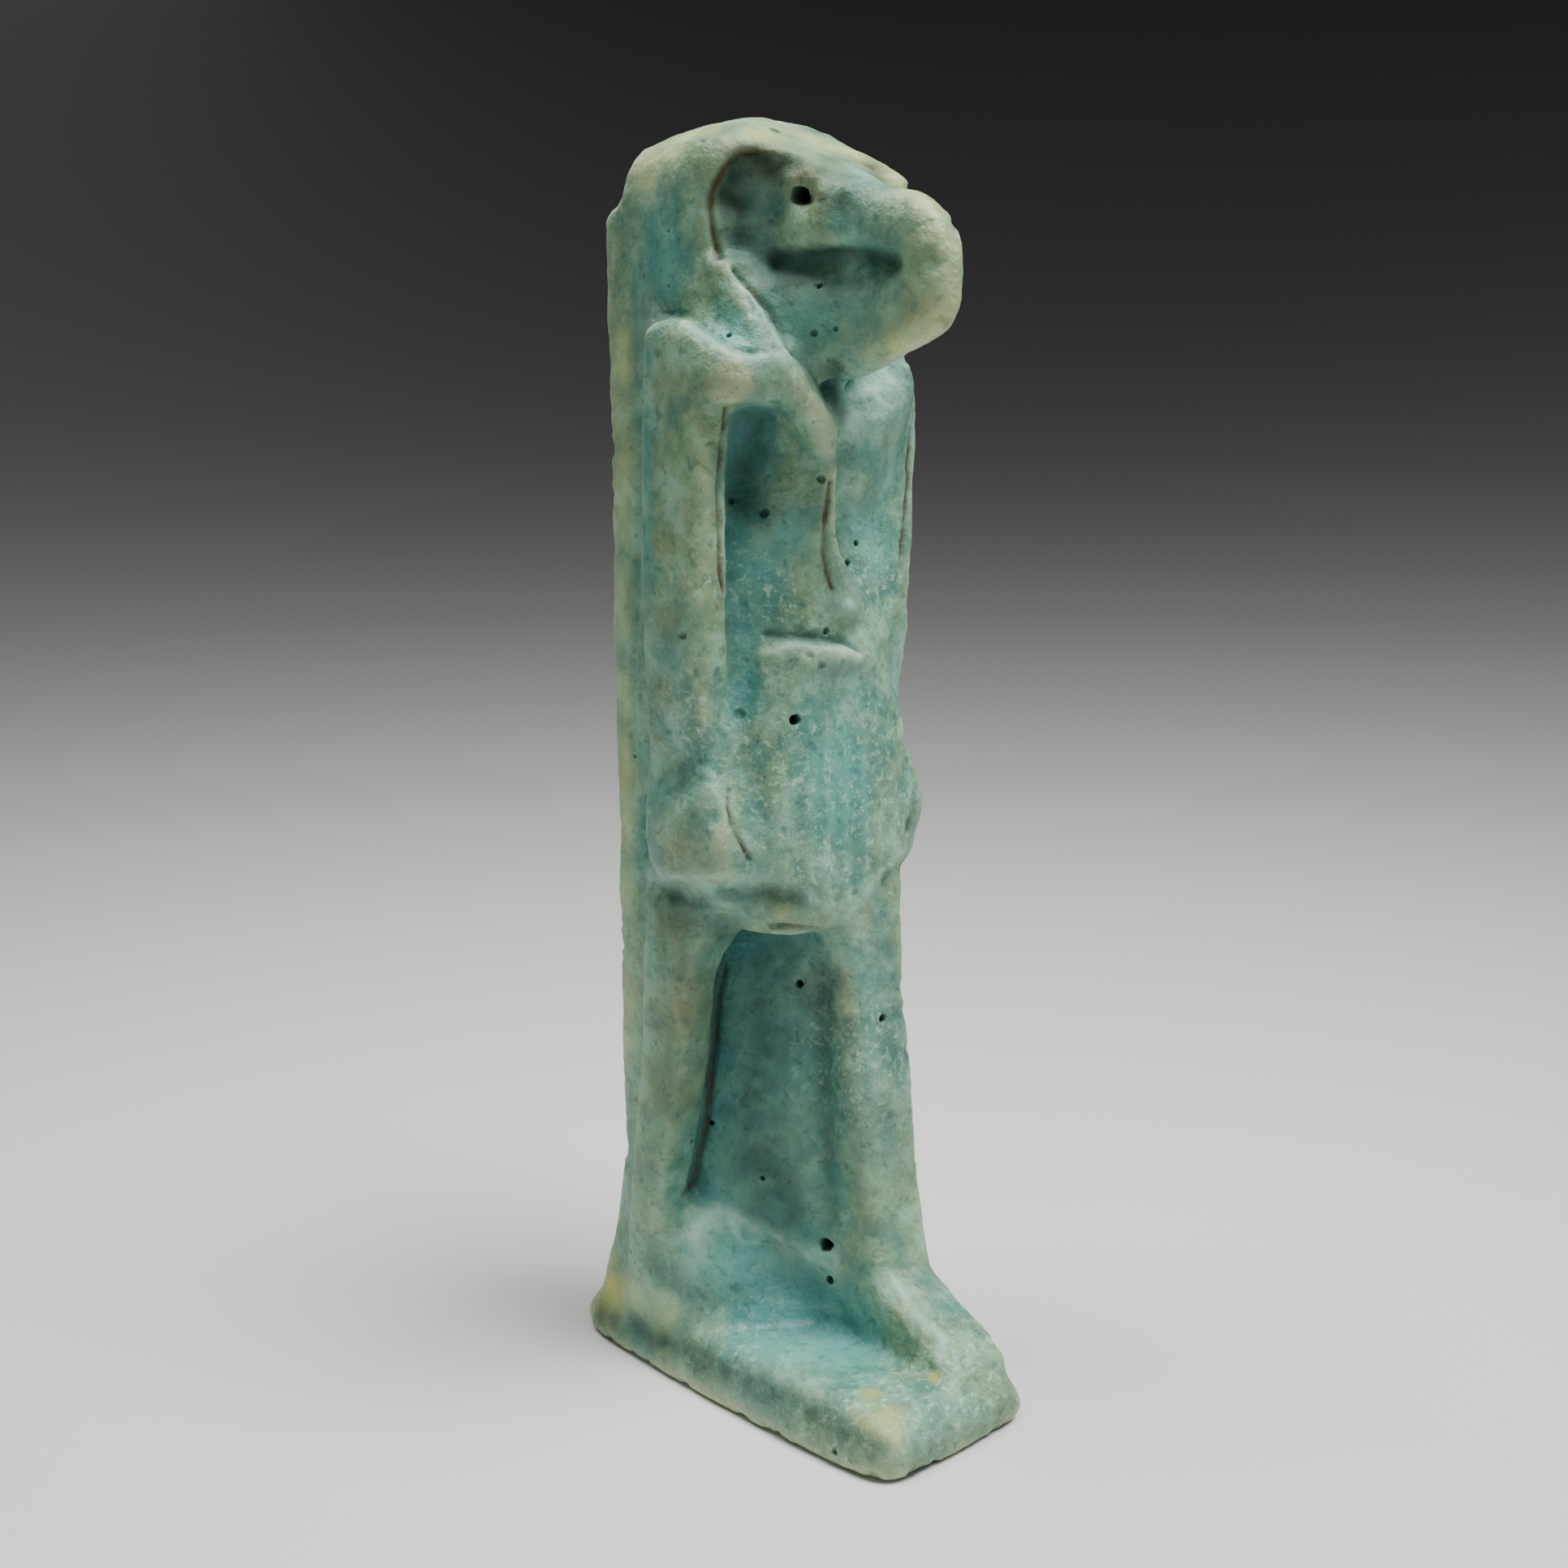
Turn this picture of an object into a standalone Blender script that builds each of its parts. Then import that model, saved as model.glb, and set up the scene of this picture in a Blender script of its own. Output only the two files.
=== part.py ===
"""Amulet of a striding, bird-headed god, moulded in one piece with its back pillar and plinth.

Metres, +Z up. The figure faces -Y, its right side is at -X, and the origin is under the middle of the plinth.
"""
import math

import bmesh
import bpy
import numpy as np
from mathutils import Vector

# Driving sizes, in millimetres
FIGURE_HEIGHT = 30.4
SHOULDER_WIDTH = 7.2
PLINTH_LENGTH = 12.2
PLINTH_WIDTH = 5.6
PLINTH_THICKNESS = 1.4
PLINTH_ROUNDING = 0.45
PLINTH_SLOPE = 0.3
PLINTH_SWELL = 0.3
PILLAR_WIDTH = 4.9
PILLAR_BACK = 4.5
PILLAR_LEAN = 0.2
PILLAR_FRONT = 2.7
PILLAR_HEIGHT = 28.6
PILLAR_ROUNDING = 0.25
FLARE_HEIGHT = 4.6
CREASE_WIDTH = 0.22
CREASE_DEPTH = 0.3
LINE_DEPTH = 0.2
FAINT_DEPTH = 0.1
PLEAT_WIDTH = 0.24
PLEAT_DEPTH = 0.09
PLEAT_SPACING = 0.62
PLEATED_WIDTH = 4.2
EYE_SIZE = 0.27
EYE_DEPTH = 0.65

# How fine the clay is worked, in millimetres, and how many triangles are left at the end
GRAIN = 0.15
SMOOTHING_ROUNDS = 5
TRIANGLES = 9000
SECTION_SIDES = 40
METRES = 0.001

# The figure is drawn in parts: 30.6 from sole to crown, 6.8 across the shoulders, its soles 1.4 up
PARTS_TALL = 30.6
PARTS_ACROSS = 6.8
SOLE = 1.4

RIGHT = -1
LEFT = 1


def place(x, y, z):
    """A point of the figure's drawing, in millimetres on top of the plinth."""
    part = FIGURE_HEIGHT / PARTS_TALL
    part_across = SHOULDER_WIDTH / PARTS_ACROSS
    return Vector((x * part_across, y * part, PLINTH_THICKNESS + (z - SOLE) * part))


def as_is(x, y, z):
    """A point given in millimetres."""
    return Vector((x, y, z))


def bend(value, power):
    """A sine or cosine pushed towards the corners of a rounded box."""
    return math.copysign(abs(value) ** power, value)


def loft(sections, along="Z", squareness=3.0, where=place):
    """A closed body through rounded sections: (place on the way, low, high, low, high)."""
    body = bmesh.new()
    rings = []
    for station, low_a, high_a, low_b, high_b in sections:
        ring = []
        for step in range(SECTION_SIDES):
            angle = 2 * math.pi * step / SECTION_SIDES
            a = (low_a + high_a) / 2 + (high_a - low_a) / 2 * bend(math.cos(angle), 2 / squareness)
            b = (low_b + high_b) / 2 + (high_b - low_b) / 2 * bend(math.sin(angle), 2 / squareness)
            point = where(a, b, station) if along == "Z" else where(a, station, b)
            ring.append(body.verts.new(point))
        rings.append(ring)
    for lower, upper in zip(rings, rings[1:]):
        for step in range(SECTION_SIDES):
            after = (step + 1) % SECTION_SIDES
            body.faces.new((lower[step], lower[after], upper[after], upper[step]))
    body.faces.new(rings[0])
    body.faces.new(rings[-1])
    bmesh.ops.recalc_face_normals(body, faces=body.faces)
    return body


def blade(outline, centre, half_thickness, rim):
    """A plate in the middle plane with an outline of (y, z) points, drawn in at its faces to a round rim."""
    body = bmesh.new()
    rings = []
    steps = ((-1.0, rim), (-0.5, 1.0), (0.5, 1.0), (1.0, rim))
    for side, share in steps:
        x = side * half_thickness
        ring = []
        for y, z in outline:
            point = place(x, centre[0] + (y - centre[0]) * share, centre[1] + (z - centre[1]) * share)
            ring.append(body.verts.new(point))
        rings.append(ring)
    for lower, upper in zip(rings, rings[1:]):
        for step in range(len(outline)):
            after = (step + 1) % len(outline)
            body.faces.new((lower[step], lower[after], upper[after], upper[step]))
    body.faces.new(rings[0])
    body.faces.new(rings[-1])
    bmesh.ops.recalc_face_normals(body, faces=body.faces)
    return body


def lump(corners):
    """A flat-sided lump that just holds its corners."""
    body = bmesh.new()
    points = [body.verts.new(place(*corner)) for corner in corners]
    hull = bmesh.ops.convex_hull(body, input=points)
    left_over = set(hull["geom_interior"] + hull["geom_unused"])
    spare = [item for item in left_over if isinstance(item, bmesh.types.BMVert)]
    bmesh.ops.delete(body, geom=spare, context="VERTS")
    bmesh.ops.recalc_face_normals(body, faces=body.faces)
    return body


def sided(side, sections):
    """Sections drawn as distances from the middle, set on the right or the left side."""
    if side == RIGHT:
        return [(z, -outer, -inner, front, back) for z, inner, outer, front, back in sections]
    return sections


def plinth():
    """The low base: worn round edges, and long sides that swell below a level and draw in above it."""
    half_width = PLINTH_WIDTH / 2
    half_length = PLINTH_LENGTH / 2
    true_level = 0.42 * PLINTH_THICKNESS
    levels = (
        (-0.2 * PLINTH_THICKNESS, PLINTH_ROUNDING),
        (0.1 * PLINTH_THICKNESS, 0.2 * PLINTH_ROUNDING),
        (0.3 * PLINTH_THICKNESS, 0.0),
        (0.6 * PLINTH_THICKNESS, 0.5 * PLINTH_SLOPE),
        (0.9 * PLINTH_THICKNESS, PLINTH_SLOPE + 0.5 * PLINTH_ROUNDING),
        (PLINTH_THICKNESS, PLINTH_SLOPE + 1.2 * PLINTH_ROUNDING),
    )
    sections = [
        (z, -half_width + inset, half_width - inset, -half_length + inset, half_length - inset)
        for z, inset in levels
    ]

    def swelling(x, y, z):
        middle = max(0.0, 1 - (y / half_length) ** 2)
        swell = PLINTH_SWELL * middle * (1 - z / true_level)
        return Vector((x + math.copysign(swell, x) * min(1.0, abs(x) / half_width), y, z))

    return [loft(sections, squareness=9, where=swelling)]


def pillar():
    """The back pillar, flaring out to the rear of the plinth at its foot."""
    half = PILLAR_WIDTH / 2
    top = PLINTH_THICKNESS + PILLAR_HEIGHT
    rear = PLINTH_LENGTH / 2 - PLINTH_ROUNDING
    foot = PILLAR_BACK - PILLAR_LEAN
    steps = 6
    sections = [(PLINTH_THICKNESS / 2, -half, half, PILLAR_FRONT, rear)]
    for step in range(1, steps + 1):
        share = step / steps
        back = foot + (rear - foot) * (1 - share) ** 2
        sections.append((PLINTH_THICKNESS + FLARE_HEIGHT * share, -half, half, PILLAR_FRONT, back))
    shoulder = top - PILLAR_ROUNDING
    edge = half - PILLAR_ROUNDING
    sections.append((shoulder, -half, half, PILLAR_FRONT, PILLAR_BACK))
    sections.append((top, -edge, edge, PILLAR_FRONT, PILLAR_BACK - PILLAR_ROUNDING))
    return [loft(sections, squareness=8, where=as_is)]


def wig():
    """The long wig: its round crown, the brim over the brow and a lappet on each side of the chest."""
    crown = (
        (24.5, -2.2, 2.2, 0.0, 3.3),
        (27.0, -2.35, 2.35, -0.1, 3.7),
        (28.2, -2.45, 2.45, -0.2, 4.05),
        (29.0, -2.5, 2.45, -0.15, 4.2),
        (30.3, -2.55, 2.5, -0.4, 4.2),
        (30.9, -2.5, 2.45, -0.7, 4.1),
        (31.4, -2.25, 2.2, -0.6, 3.85),
        (31.8, -1.55, 1.6, 0.0, 3.1),
        (32.05, -0.8, 0.9, 0.5, 2.2),
    )
    brim = (
        (1.0, -2.1, 2.2, 30.2, 31.75),
        (-0.5, -1.9, 2.35, 30.4, 31.4),
        (-1.5, -1.2, 2.4, 30.1, 30.9),
        (-1.8, -0.9, 2.3, 30.0, 30.7),
    )
    lappet = (
        (28.6, 1.4, 2.45, -0.5, 2.5),
        (27.0, 1.3, 2.45, -1.25, 2.0),
        (26.1, 0.85, 2.1, -1.75, 1.0),
        (25.2, 0.3, 1.5, -2.05, 0.5),
        (24.6, 0.05, 1.0, -1.95, 0.2),
        (24.0, 0.0, 0.6, -1.65, 0.2),
    )
    # The left lappet is worn down into the shoulder beside it
    worn_lappet = (
        (28.6, 1.4, 2.45, -0.5, 2.5),
        (27.0, 1.4, 2.5, -1.2, 2.0),
        (26.3, 1.25, 2.8, -1.55, 1.0),
        (25.6, 0.85, 2.7, -1.8, 0.5),
        (24.9, 0.45, 2.5, -1.7, 0.2),
        (24.2, 0.2, 2.3, -1.45, 0.2),
        (23.3, 0.3, 2.3, -1.2, 0.2),
        (22.4, 0.4, 2.3, -0.95, 0.2),
    )
    return [
        loft(crown, squareness=3.6),
        loft(brim, along="Y", squareness=3.0),
        loft(sided(RIGHT, lappet), squareness=3.4),
        loft(sided(LEFT, worn_lappet), squareness=3.0),
    ]


def head():
    """The bird's head: a wedge of a face over a jaw, on the deep thin beak."""
    face = (
        (0.5, -1.5, 1.5, 28.2, 31.2),
        (-0.8, -1.45, 1.45, 28.5, 31.0),
        (-2.0, -1.25, 1.25, 28.6, 30.6),
        (-3.0, -0.9, 0.9, 28.6, 30.2),
        (-4.0, -0.66, 0.66, 28.4, 29.75),
        (-4.7, -0.56, 0.56, 28.0, 29.2),
    )
    jaw = (
        (0.3, -1.8, 1.8, 25.5, 29.2),
        (-1.0, -1.3, 1.3, 25.9, 28.8),
        (-2.0, -0.92, 0.92, 26.1, 28.5),
        (-3.2, -0.7, 0.7, 26.3, 28.1),
    )
    beak = (
        (0.0, 31.2),
        (-1.7, 30.85),
        (-2.8, 30.25),
        (-4.1, 29.95),
        (-4.75, 29.6),
        (-5.15, 28.95),
        (-5.25, 28.0),
        (-5.15, 27.2),
        (-4.75, 26.75),
        (-3.9, 26.45),
        (-3.0, 26.1),
        (-2.3, 25.9),
        (-1.6, 25.7),
        (0.0, 25.6),
    )
    return [
        loft(face, along="Y", squareness=2.8),
        loft(jaw, along="Y", squareness=2.6),
        blade(beak, centre=(-2.2, 28.2), half_thickness=0.6, rim=0.86),
    ]


def trunk():
    """Shoulders over a chest that falls away from a soft ridge down the front."""
    chest = (
        (19.0, -2.3, 2.3, -1.15, 3.0),
        (20.6, -2.3, 2.3, -1.3, 3.0),
        (24.0, -2.3, 2.3, -1.4, 3.0),
        (25.6, -2.3, 2.3, -1.45, 3.0),
    )
    core = (
        (12.8, -2.3, 2.3, 1.0, 3.4),
        (20.0, -2.4, 2.4, 1.0, 3.4),
        (26.4, -2.4, 2.4, 0.9, 3.4),
    )
    belly = (
        (20.1, 0.0, 1.2, -1.5, 0.5),
        (20.6, -0.2, 1.4, -1.65, 0.5),
        (21.1, -0.3, 1.0, -1.55, 0.5),
        (22.4, -0.25, 0.35, -1.45, 0.5),
        (24.0, -0.25, 0.25, -1.55, 0.5),
    )
    # The left side of the chest is worn level with the arm beside it
    left_chest = (
        (18.6, 0.2, 2.6, -1.35, 1.0),
        (19.6, 0.2, 2.6, -1.3, 1.0),
        (20.6, 0.2, 2.5, -1.15, 1.0),
        (22.0, 0.2, 2.5, -1.0, 1.0),
        (24.6, 0.2, 2.5, -1.05, 1.0),
    )
    shoulder = (
        (25.2, 1.0, 3.3, -1.3, 2.0),
        (25.7, 0.9, 3.35, -1.55, 2.0),
        (26.2, 0.9, 3.35, -1.5, 2.0),
        (26.6, 1.5, 3.35, -0.95, 1.95),
        (27.0, 2.1, 3.3, -0.1, 1.8),
        (27.2, 2.5, 3.2, 0.4, 1.5),
    )
    worn_shoulder = (
        (23.6, 1.2, 3.3, -1.0, 2.0),
        (24.8, 1.0, 3.3, -1.2, 2.0),
        (25.4, 1.0, 3.25, -1.4, 2.0),
        (25.9, 1.2, 3.05, -1.4, 2.0),
        (26.3, 1.5, 2.7, -0.9, 1.8),
    )
    return [
        loft(chest, squareness=1.35),
        loft(core, squareness=5),
        loft(belly, squareness=2.0),
        loft(left_chest),
        loft(sided(RIGHT, shoulder), squareness=3.6),
        loft(sided(LEFT, worn_shoulder)),
    ]


def arms():
    """Straight arms that hang at the sides and end in closed hands."""
    right = (
        (13.6, 2.0, 3.1, -0.7, 1.6),
        (14.0, 1.9, 3.3, -1.0, 1.9),
        (15.0, 2.0, 3.4, -1.1, 1.95),
        (15.9, 2.1, 3.3, -0.85, 1.95),
        (16.9, 2.15, 3.15, -0.3, 1.95),
        (19.0, 2.1, 3.3, -0.4, 1.95),
        (22.0, 2.1, 3.35, -0.45, 1.95),
        (25.0, 2.0, 3.35, -0.6, 1.95),
        (26.2, 2.0, 3.3, -0.6, 1.95),
    )
    left = (
        (13.0, 1.9, 3.0, -0.9, 1.7),
        (13.8, 1.9, 3.25, -1.15, 1.9),
        (15.2, 2.0, 3.5, -1.45, 1.9),
        (16.6, 2.0, 3.4, -0.8, 1.9),
        (17.6, 2.0, 3.35, -0.5, 1.9),
        (19.7, 1.8, 3.4, -0.85, 1.95),
        (23.0, 1.6, 3.4, -1.0, 1.95),
        (25.0, 1.6, 3.4, -1.05, 1.95),
        (25.6, 1.6, 3.3, -1.0, 1.95),
    )
    return [loft(sided(RIGHT, right), squareness=4), loft(sided(LEFT, left), squareness=4)]


def kilt():
    """The short kilt, longer in front, under a narrow belt."""
    skirt = (
        (13.0, -2.9, 2.9, -1.1, 2.8),
        (14.5, -2.9, 2.9, -1.3, 2.8),
        (16.5, -2.8, 2.8, -1.2, 2.8),
        (18.2, -2.6, 2.6, -0.75, 2.8),
        (20.4, -2.5, 2.5, -0.2, 2.8),
    )
    front = (
        (12.3, -1.7, 2.45, -1.5, 0.9),
        (12.8, -2.1, 2.7, -1.75, 0.9),
        (14.0, -2.4, 2.95, -1.85, 0.9),
        (16.5, -2.2, 2.9, -1.8, 0.9),
        (17.8, -1.95, 2.75, -1.72, 0.9),
        (18.6, -1.9, 2.4, -1.6, 0.9),
        (19.3, -1.7, 2.0, -1.4, 0.9),
        (19.8, -1.3, 1.8, -1.2, 0.9),
    )
    belt = (
        (18.85, -1.3, 1.7, -1.7, 0.5),
        (19.2, -1.35, 1.7, -1.82, 0.5),
        (19.5, -1.3, 1.5, -1.6, 0.5),
    )
    return [loft(skirt), loft(front, squareness=2.5), loft(belt)]


def legs():
    """The right leg against the pillar, the left one a stride ahead, and the web between them."""
    right = (
        (1.2, 1.2, 2.6, 2.3, 4.0),
        (4.8, 1.4, 2.75, 2.2, 3.4),
        (6.4, 1.4, 2.8, 1.7, 3.2),
        (8.5, 1.35, 2.75, 1.25, 3.0),
        (11.0, 1.3, 2.7, 1.0, 3.0),
        (12.0, 1.1, 2.65, 0.6, 3.0),
        (12.8, 0.8, 2.65, 0.2, 3.0),
        (13.8, 0.5, 2.7, -0.3, 3.0),
    )
    left = (
        (1.2, 0.6, 2.55, -2.9, -0.6),
        (3.5, 0.5, 2.5, -2.6, -0.8),
        (5.5, 0.35, 2.4, -2.3, -0.9),
        (8.5, 0.2, 2.3, -2.05, -0.9),
        (11.0, 0.15, 2.25, -1.85, -0.7),
        (13.5, 0.0, 2.3, -1.75, -0.3),
    )
    calf = (
        (1.2, 1.1, 2.45, -2.0, 0.6),
        (5.5, 1.1, 2.3, -1.8, 0.4),
        (11.0, 1.1, 2.2, -1.6, 0.8),
        (13.5, 1.1, 2.3, -1.5, 1.2),
    )
    web = (
        (3.4, -1.5, 1.4, 1.0, 13.5),
        (2.2, -1.1, 1.4, 1.0, 13.5),
        (0.8, -0.45, 1.4, 1.0, 13.5),
        (-0.5, 0.15, 1.4, 1.0, 13.5),
        (-1.5, 0.4, 1.4, 1.0, 13.5),
    )
    return [
        loft(sided(RIGHT, right), squareness=6),
        loft(sided(LEFT, left), squareness=4),
        loft(sided(LEFT, calf), squareness=2.6),
        loft(web, along="Y", squareness=8),
    ]


def feet():
    """The worn right foot, a sloping stub in front of its leg, and the long left foot."""
    right = (
        (-2.5, 3.4, 1.0),
        (-2.65, 2.3, 1.0),
        (-1.75, 0.55, 1.0),
        (-0.6, -0.45, 1.0),
        (0.6, -1.2, 1.0),
        (0.6, 3.4, 1.0),
        (-2.2, 2.0, 4.2),
        (-1.3, 1.7, 4.35),
        (-0.5, 0.95, 3.8),
        (0.5, 0.0, 3.15),
        (-2.2, 3.4, 4.7),
        (0.6, 3.4, 4.0),
    )
    left = (
        (0.3, 0.4, 2.3, 1.0, 3.4),
        (-1.8, 0.4, 2.45, 1.0, 3.7),
        (-2.8, 0.4, 2.4, 1.0, 3.15),
        (-3.8, 0.35, 2.3, 1.0, 2.6),
        (-4.8, 0.3, 2.25, 1.0, 2.15),
        (-5.5, 0.4, 2.2, 1.0, 1.65),
    )
    return [lump(right), loft(left, along="Y", squareness=3.6)]


def joined(bodies):
    """One mesh object that holds all the rough forms."""
    whole = bmesh.new()
    for body in bodies:
        mesh = bpy.data.meshes.new("form")
        body.to_mesh(mesh)
        body.free()
        whole.from_mesh(mesh)
        bpy.data.meshes.remove(mesh)
    bmesh.ops.triangulate(whole, faces=whole.faces)
    mesh = bpy.data.meshes.new("amulet")
    whole.to_mesh(mesh)
    whole.free()
    amulet = bpy.data.objects.new("amulet", mesh)
    bpy.context.collection.objects.link(amulet)
    return amulet


def settle(amulet):
    """Replace the object's mesh by what its modifiers make of it."""
    graph = bpy.context.evaluated_depsgraph_get()
    graph.update()
    mesh = bpy.data.meshes.new_from_object(amulet.evaluated_get(graph))
    amulet.modifiers.clear()
    old = amulet.data
    amulet.data = mesh
    bpy.data.meshes.remove(old)
    mesh.name = "amulet"


def soften(amulet, rounds):
    """Relax the skin a little, as handling and firing have."""
    modifier = amulet.modifiers.new("soften", "SMOOTH")
    modifier.factor = 0.5
    modifier.iterations = round(rounds)


def outer_skin(amulet):
    """Fill the bubbles left between the forms: only the largest connected skin stays."""
    body = bmesh.new()
    body.from_mesh(amulet.data)
    body.verts.ensure_lookup_table()
    unseen = set(body.verts)
    skins = []
    while unseen:
        edge_of_skin = [unseen.pop()]
        skin = list(edge_of_skin)
        while edge_of_skin:
            corner = edge_of_skin.pop()
            for edge in corner.link_edges:
                other = edge.other_vert(corner)
                if other in unseen:
                    unseen.remove(other)
                    edge_of_skin.append(other)
                    skin.append(other)
        skins.append(skin)
    skins.sort(key=len)
    for skin in skins[:-1]:
        bmesh.ops.delete(body, geom=skin, context="VERTS")
    body.to_mesh(amulet.data)
    body.free()


def knead(amulet):
    """Fuse the rough forms into one skin and soften where they meet."""
    fuse = amulet.modifiers.new("fuse", "REMESH")
    fuse.mode = "VOXEL"
    fuse.voxel_size = GRAIN
    soften(amulet, SMOOTHING_ROUNDS)
    settle(amulet)
    outer_skin(amulet)


def vectors(collection, name):
    """The coordinates or normals of a mesh's vertices as rows."""
    flat = np.empty(len(collection) * 3, dtype=np.float32)
    collection.foreach_get(name, flat)
    return flat.reshape(-1, 3).astype(float)


def path_distance(points, path):
    """How far each point is from a path of drawing points."""
    nearest = np.full(len(points), np.inf)
    corners = [np.array(place(*corner)) for corner in path]
    for start, end in zip(corners, corners[1:]):
        run = end - start
        share = np.clip((points - start) @ run / (run @ run), 0, 1)
        nearest = np.minimum(nearest, np.linalg.norm(points - start - share[:, None] * run, axis=1))
    return nearest


def press(points, centre, size, push):
    """Push the skin around a drawing point, fading over the given size; both in parts."""
    middle = np.array(place(*centre))
    spread = np.array(place(*centre) - place(*[c - s for c, s in zip(centre, size)]))
    shift = np.array(place(*[c + p for c, p in zip(centre, push)])) - middle
    share = np.exp(-(((points - middle) / spread) ** 2).sum(axis=1))
    points += share[:, None] * shift


def crease(points, normals, path, width=CREASE_WIDTH, depth=CREASE_DEPTH):
    """Cut a soft groove into the skin along a path."""
    share = np.exp(-(path_distance(points, path) / width) ** 2)
    points -= (share * depth)[:, None] * normals


def carve(amulet):
    """The tool marks: hollows of the face and chest, creases, pleats and the eye."""
    mesh = amulet.data
    points = vectors(mesh.vertices, "co")
    normals = vectors(mesh.vertex_normals, "vector")
    for side in (RIGHT, LEFT):
        # Eye socket, the hollow under the cheek, and the hollow below it
        press(points, (side * 1.8, -0.7, 29.7), (0.7, 0.55, 0.8), (-side * 0.3, 0.05, 0))
        press(points, (side * 1.6, -0.75, 29.7), (0.6, 0.5, 0.6), (-side * 0.3, 0.1, 0))
        press(points, (side * 1.15, -2.35, 29.35), (0.5, 0.45, 0.3), (-side * 0.16, 0, 0))
        press(points, (side * 0.8, -2.7, 28.2), (0.7, 1.6, 0.28), (-side * 0.2, 0, 0))
        press(points, (side * 0.6, -3.0, 27.5), (0.6, 1.1, 0.9), (-side * 0.16, 0, 0))
        # Where the wig's lappet meets the neck
        lappet_edge = ((side * 2.0, -0.7, 28.2), (side * 1.3, -1.7, 26.6), (side * 0.35, -2.0, 25.2))
        crease(points, normals, lappet_edge)
        # The wig's edge round the face
        lower_edge = ((side * 2.1, -0.6, 28.4), (side * 2.15, -0.5, 29.4), (side * 1.95, -0.9, 30.4))
        crease(points, normals, lower_edge)
        upper_edge = ((side * 1.95, -0.9, 30.4), (side * 1.2, -1.4, 31.0))
        crease(points, normals, upper_edge)
        # The line that parts the pillar from the arm and leg
        crease(points, normals, ((side * 2.4, 2.95, 26.0), (side * 2.4, 2.9, 5.0)), CREASE_WIDTH, LINE_DEPTH)
        press(points, (side * 3.3, 0.6, 16.6), (0.5, 0.9, 0.6), (-side * 0.22, 0, 0))
    # The deep hollow beside the right upper arm, and the line where each arm leaves the body
    press(points, (-1.5, -0.2, 23.7), (0.75, 0.9, 1.5), (0.3, 0.6, 0))
    crease(points, normals, ((-2.05, -0.2, 24.8), (-2.05, -0.1, 21.5), (-2.05, -0.2, 17.0)))
    worn_line = ((2.0, -1.0, 24.6), (1.9, -1.0, 21.5), (2.1, -0.9, 18.0))
    crease(points, normals, worn_line, CREASE_WIDTH, FAINT_DEPTH)
    # Under the right hand and the hem
    hem = ((-2.9, 1.6, 13.2), (-2.85, 0.2, 13.15), (-2.4, -0.7, 13.0), (-1.7, -1.2, 12.5))
    crease(points, normals, hem)
    # The inner edge of the right leg, and the edge of the web along the left one
    inner_leg = ((-1.3, 1.1, 11.4), (-1.35, 1.35, 8.5), (-1.4, 1.8, 6.4), (-1.4, 2.3, 4.9))
    crease(points, normals, inner_leg)
    crease(points, normals, ((0.45, -0.8, 11.5), (0.5, -0.9, 4.0)))
    # The belt's upper edge
    belt_edge = ((-1.5, -1.7, 19.75), (0.0, -1.8, 19.8), (1.3, -1.8, 19.65))
    crease(points, normals, belt_edge, CREASE_WIDTH, LINE_DEPTH)
    # The seam down the left side of the chest ridge
    crease(points, normals, ((0.35, -1.2, 24.2), (0.4, -1.2, 22.0), (0.9, -1.5, 21.2)))
    pleats = int(PLEATED_WIDTH / PLEAT_SPACING)
    for count in range(pleats):
        x = -1.6 + PLEAT_SPACING * count
        crease(points, normals, ((x, -1.85, 18.0), (x, -2.0, 13.4)), PLEAT_WIDTH, PLEAT_DEPTH)
    crease(points, normals, ((-1.3, -1.56, 29.96), (-1.28, -1.66, 29.96)), EYE_SIZE, EYE_DEPTH)
    mesh.vertices.foreach_set("co", points.astype(np.float32).ravel())
    mesh.update()
    soften(amulet, 1)
    settle(amulet)


def finish(amulet):
    """Cut the underside flat, thin the skin and stand the amulet over its origin, in metres."""
    body = bmesh.new()
    body.from_mesh(amulet.data)
    geometry = list(body.verts) + list(body.edges) + list(body.faces)
    cut = bmesh.ops.bisect_plane(
        body, geom=geometry, dist=1e-5, plane_co=(0, 0, 0), plane_no=(0, 0, 1), clear_inner=True
    )
    rim = [item for item in cut["geom_cut"] if isinstance(item, bmesh.types.BMEdge)]
    bmesh.ops.holes_fill(body, edges=rim, sides=0)
    bmesh.ops.triangulate(body, faces=body.faces)
    body.to_mesh(amulet.data)
    body.free()
    thin = amulet.modifiers.new("thin", "DECIMATE")
    thin.ratio = min(1.0, TRIANGLES / len(amulet.data.polygons))
    settle(amulet)
    mesh = amulet.data
    points = vectors(mesh.vertices, "co")
    middle = (points.min(axis=0) + points.max(axis=0)) / 2
    points -= (middle[0], middle[1], points[:, 2].min())
    mesh.vertices.foreach_set("co", (points * METRES).astype(np.float32).ravel())
    mesh.update()
    mesh.shade_smooth()


def faience():
    """The pale blue-green glazed ceramic."""
    material = bpy.data.materials.new("faience")
    material.use_nodes = True
    shader = material.node_tree.nodes["Principled BSDF"]
    shader.inputs["Base Color"].default_value = (0.26, 0.42, 0.36, 1)
    shader.inputs["Roughness"].default_value = 0.45
    shader.inputs["Metallic"].default_value = 0.0
    return material


def main():
    for item in list(bpy.data.objects):
        bpy.data.objects.remove(item, do_unlink=True)
    forms = plinth() + pillar() + wig() + head() + trunk() + arms() + kilt() + legs() + feet()
    amulet = joined(forms)
    knead(amulet)
    carve(amulet)
    finish(amulet)
    amulet.data.materials.clear()
    amulet.data.materials.append(faience())


main()
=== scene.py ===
"""The amulet as it looks: worn blue-green faience with pores, chips, dirt and painted shade in its hollows,
on a pale floor painted darker far off.
"""
import math

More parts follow.
